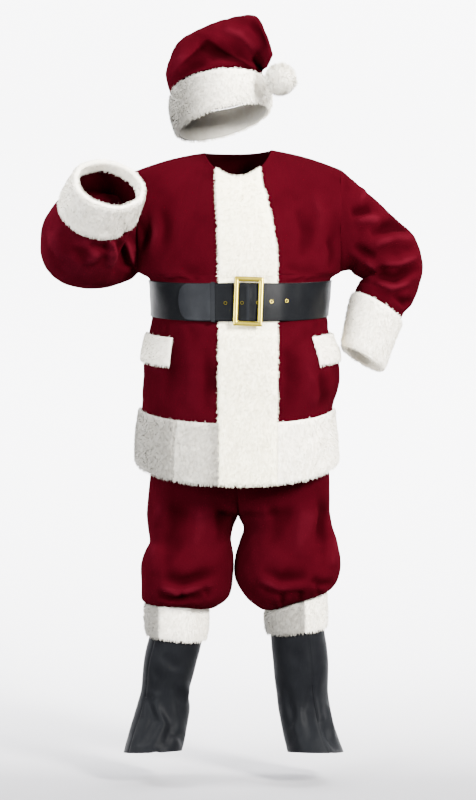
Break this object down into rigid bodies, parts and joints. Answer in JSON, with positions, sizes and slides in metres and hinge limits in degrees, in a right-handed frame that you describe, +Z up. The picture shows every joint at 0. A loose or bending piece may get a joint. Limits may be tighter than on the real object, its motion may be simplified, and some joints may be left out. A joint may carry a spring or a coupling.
{
  "type": "santa suit",
  "caption": "Worn plush costume suit: fur-trimmed belted jacket with a round neck, gathered breeches, folded hat with pompom, and high shiny boot tops.",
  "frame": {"origin": "middle of the jacket's neck opening, where the suit rests on the wearer's shoulders", "axes": "+Z up, +X towards the wearer's left side, -Y the way the wearer faces"},
  "size_m": [0.9897, 0.4792, 1.9257],
  "materials": {
    "red_plush": "dark crimson plush with a brushed nap",
    "fur_trim": "long white pile, warm white, grey in the shade",
    "boot_vinyl": "soft glossy black vinyl",
    "belt_leather": "satin black leather",
    "brass": "polished pale brass"
  },
  "bodies": {
    "root": {"belt_keeper": "belt_leather", "belt_strap": "belt_leather", "boot_top_inner_left": "boot_vinyl", "boot_top_inner_right": "boot_vinyl", "boot_top_outer_left": "boot_vinyl", "boot_top_outer_right": "boot_vinyl", "breeches_back_left": "red_plush", "breeches_back_right": "red_plush", "breeches_front_left": "red_plush", "breeches_front_right": "red_plush", "buckle": "brass", "cuff_left": "fur_trim", "cuff_right": "fur_trim", "eyelet_1": "brass", "eyelet_2": "brass", "eyelet_3": "brass", "eyelet_4": "brass", "eyelet_5": "brass", "front_band": "fur_trim", "hat_band": "fur_trim", "hat_crown": "red_plush", "hem_back": "fur_trim", "hem_front_left": "fur_trim", "hem_front_right": "fur_trim", "hem_side_left": "fur_trim", "hem_side_right": "fur_trim", "jacket_back": "red_plush", "jacket_front_left": "red_plush", "jacket_front_right": "red_plush", "leg_trim_left": "fur_trim", "leg_trim_right": "fur_trim", "pocket_flap_left": "fur_trim", "pocket_flap_right": "fur_trim", "pompom": "fur_trim", "sleeve_left": "red_plush", "sleeve_right": "red_plush", "waistband": "red_plush"}
  },
  "joints": []
}
